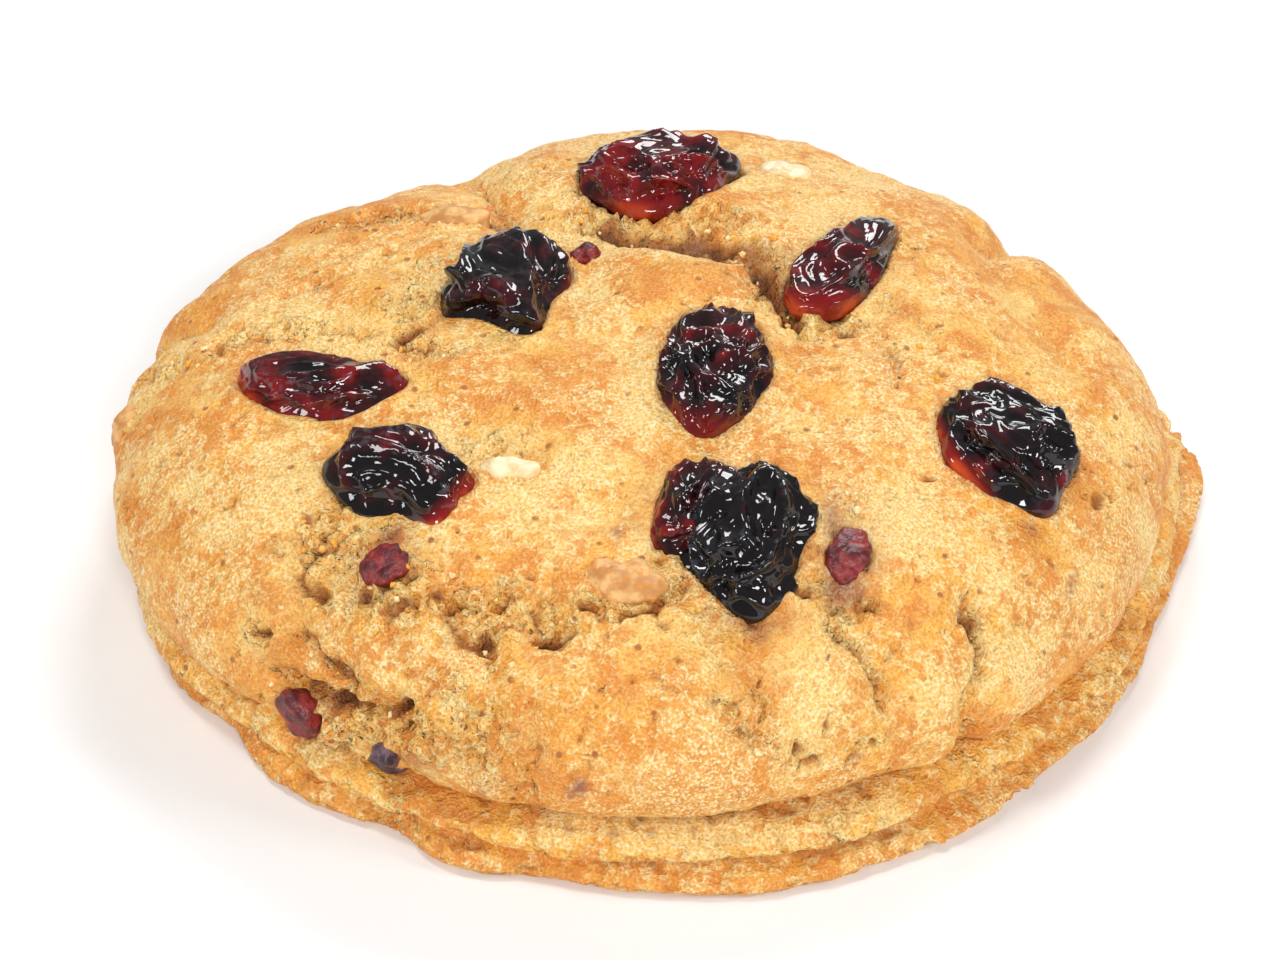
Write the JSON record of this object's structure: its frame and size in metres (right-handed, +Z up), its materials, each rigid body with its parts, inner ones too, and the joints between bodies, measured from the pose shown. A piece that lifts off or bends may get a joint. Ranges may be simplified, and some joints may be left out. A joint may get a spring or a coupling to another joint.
{
  "type": "cranberry pecan cookie",
  "caption": "Thick round domed cookie with a spreading two-tier foot, studded with dried cranberries, pecan bits and pale chips.",
  "frame": {"origin": "middle of the flat underside, on the surface that the cookie rests on", "axes": "+Z up through the crown of the dome; -Y towards the front, where the foot's tiers show best; +X to the right of that front"},
  "size_m": [0.0944, 0.0914, 0.0272],
  "materials": {
    "dough": "dry baked crust, golden tan with paler crumb in the splits",
    "dark_berry": "glossy wrinkled dried fruit, near-black maroon",
    "red_berry": "glossy wrinkled dried fruit, deep red with thin orange-red edges",
    "pecan": "baked nut, brown skin and tan flesh",
    "pale_chip": "smooth pale cream"
  },
  "bodies": {
    "root": {"dough": "dough", "cranberry_back": "red_berry", "cranberry_back_left": "dark_berry", "cranberry_pointed": "red_berry", "cranberry_centre": "dark_berry", "cranberry_left_long": "red_berry", "cranberry_left_front": "dark_berry", "cranberry_right": "dark_berry", "cranberry_front": "dark_berry", "cranberry_front_under": "red_berry", "cranberry_skin_left": "red_berry", "cranberry_skin_right": "red_berry", "cranberry_low_left": "red_berry", "cranberry_rim_left": "dark_berry", "cranberry_small_red": "red_berry", "pecan_front": "pecan", "pecan_back_left": "pecan", "pecan_left_edge": "pecan", "pale_chip_left": "pale_chip", "pale_chip_back": "pale_chip"}
  },
  "joints": []
}
